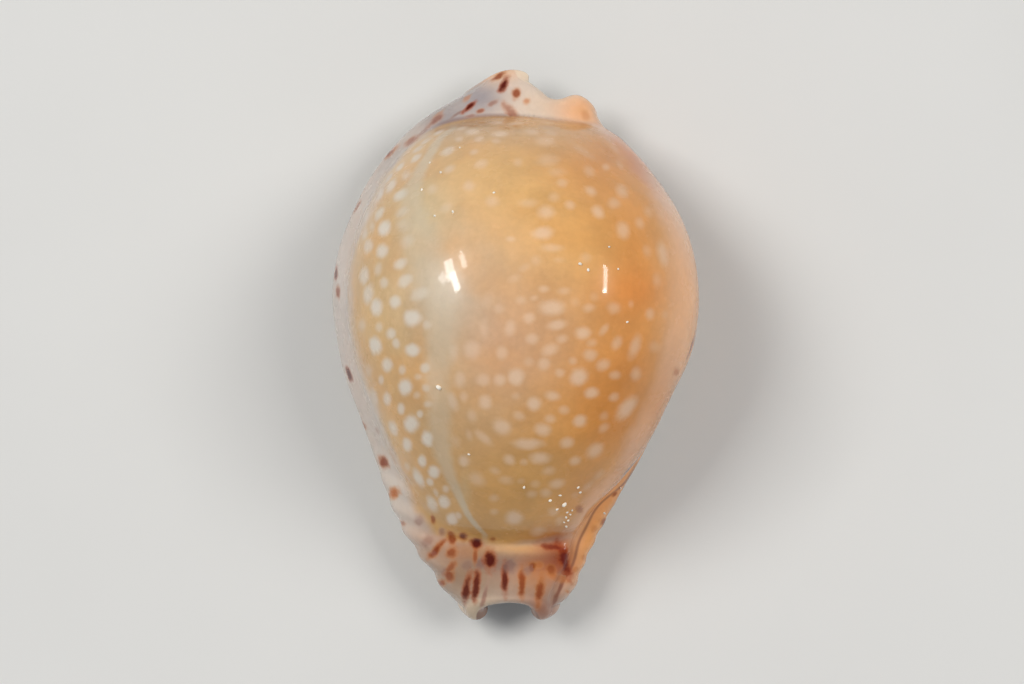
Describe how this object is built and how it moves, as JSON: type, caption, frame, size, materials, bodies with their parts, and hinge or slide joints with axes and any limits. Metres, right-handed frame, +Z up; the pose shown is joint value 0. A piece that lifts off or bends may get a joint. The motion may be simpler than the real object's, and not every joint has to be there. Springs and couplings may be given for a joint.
{
  "type": "lamarcks cowrie",
  "caption": "Cowrie shell: humped oval back, thick rolled margins, spout-like notched ends and a slit with toothed lips underneath.",
  "frame": {"origin": "bottom centre of the shell's bounding box, on the surface it rests on", "axes": "+Y along the length towards the hind (broad) end, +Z up through the back, -X towards the outer lip"},
  "size_m": [0.0238, 0.036, 0.0192],
  "materials": {
    "shell": "gloss"
  },
  "bodies": {
    "root": {"shell": "shell"}
  },
  "joints": []
}
